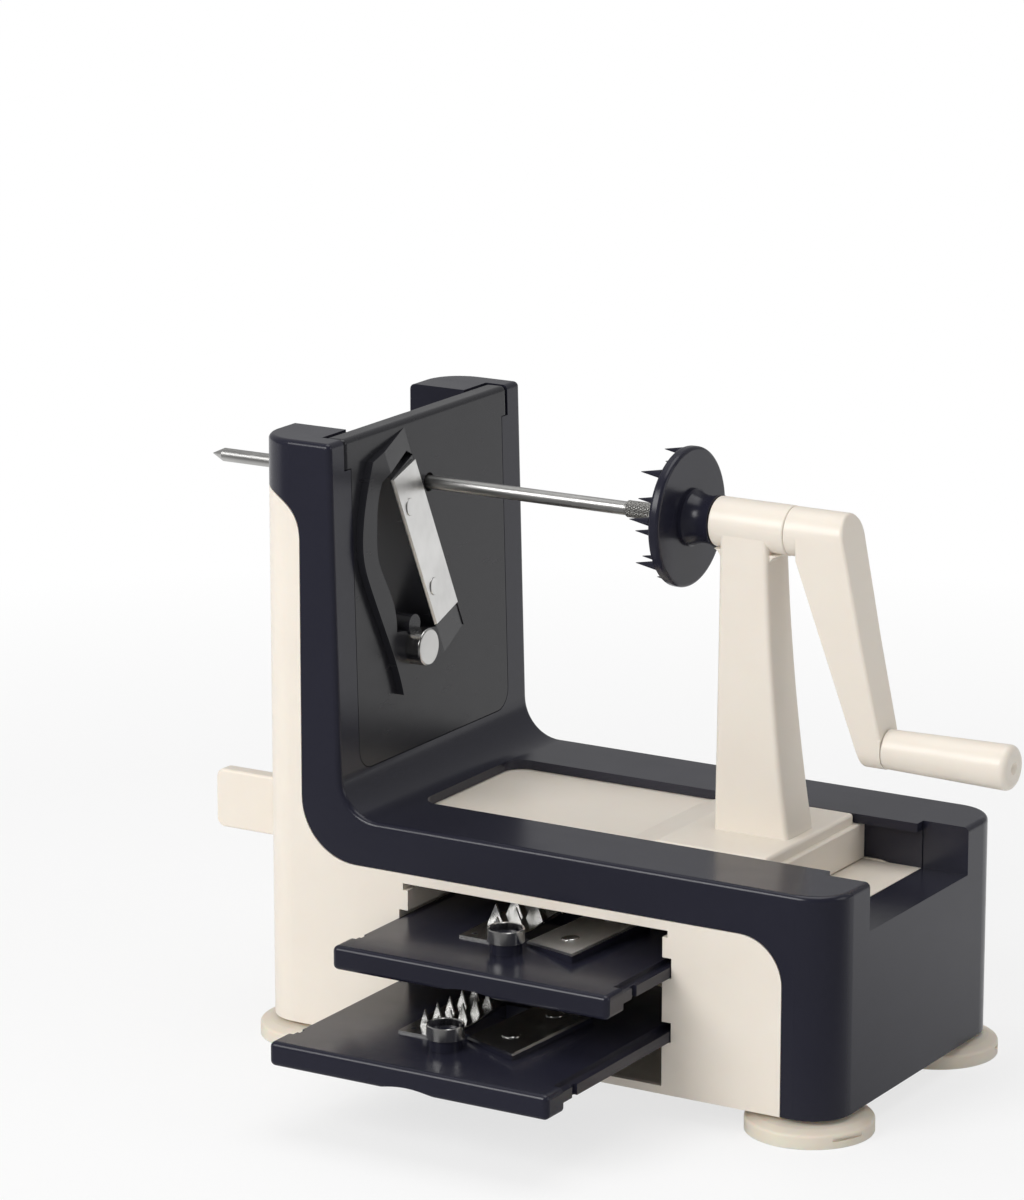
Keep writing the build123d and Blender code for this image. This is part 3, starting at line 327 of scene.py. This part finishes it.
def studio():
    """White to the camera, in gloss and through the feet brighter at the back, else even."""
    world = bpy.data.worlds.new("studio")
    bpy.context.scene.world = world
    world.use_nodes = True
    nt = world.node_tree
    nt.nodes.clear()
    out = node(nt, "ShaderNodeOutputWorld")
    plain = node(nt, "ShaderNodeBackground")
    plain.inputs["Strength"].default_value = WORLD_FILL
    backdrop = node(nt, "ShaderNodeBackground")
    path = node(nt, "ShaderNodeLightPath")
    mix = node(nt, "ShaderNodeMixShader")
    direct = combine(nt, "MAXIMUM", path.outputs["Is Camera Ray"], path.outputs["Is Glossy Ray"])
    direct = combine(nt, "MAXIMUM", direct, path.outputs["Is Transmission Ray"])
    nt.links.new(direct, mix.inputs[0])
    depth = by_depth(nt, FRONT_WORLD, BACK_WORLD, -0.3, 0.5)
    level = pick(nt, path.outputs["Is Camera Ray"], depth, 1.0)
    nt.links.new(level, backdrop.inputs["Strength"])
    nt.links.new(plain.outputs[0], mix.inputs[1])
    nt.links.new(backdrop.outputs[0], mix.inputs[2])
    nt.links.new(mix.outputs[0], out.inputs["Surface"])


studio()


def lamp(name, place, size, power, target=(0, 0.04, 0.12)):
    data = bpy.data.lights.new(name, "AREA")
    data.shape = "RECTANGLE"
    data.size, data.size_y = size
    data.energy = power
    obj = bpy.data.objects.new(name, data)
    obj.location = place
    obj.rotation_mode = "QUATERNION"
    obj.rotation_quaternion = (Vector(target) - Vector(place)).to_track_quat("-Z", "Y")
    bpy.context.scene.collection.objects.link(obj)
    return obj


lamp("key", place=(-0.75, -1.8, 1.4), size=(1.3, 1.0), power=KEY)
lamp("top", place=(0.0, 0.2, 2.0), size=(1.6, 1.4), power=TOP)
lamp("side", place=(1.9, 0.5, 0.9), size=(0.9, 0.9), power=SIDE)
# low and wide, into the storage bay, and out of the gloss
low = lamp("low", place=(0.1, -1.7, 0.2), size=(1.2, 0.2), power=LOW, target=(0.03, 0, 0.05))
low.visible_glossy = False

camera = bpy.data.cameras.new("camera")
camera.sensor_width = SENSOR
camera.lens = FOCAL * SENSOR / FRAME_HEIGHT
camera.clip_start, camera.clip_end = 0.05, 100
eye = bpy.data.objects.new("camera", camera)
right = Vector((math.cos(CAMERA_TURN), math.sin(CAMERA_TURN), 0))
ahead = Vector((
    -math.sin(CAMERA_TURN) * math.cos(CAMERA_PITCH),
    math.cos(CAMERA_TURN) * math.cos(CAMERA_PITCH),
    -math.sin(CAMERA_PITCH),
))
aim = Matrix((right, right.cross(ahead), -ahead)).transposed().to_4x4()
eye.matrix_world = Matrix.Translation(CAMERA_PLACE) @ aim
bpy.context.scene.collection.objects.link(eye)
bpy.context.scene.camera = eye

bpy.context.scene.view_settings.view_transform = "Standard"
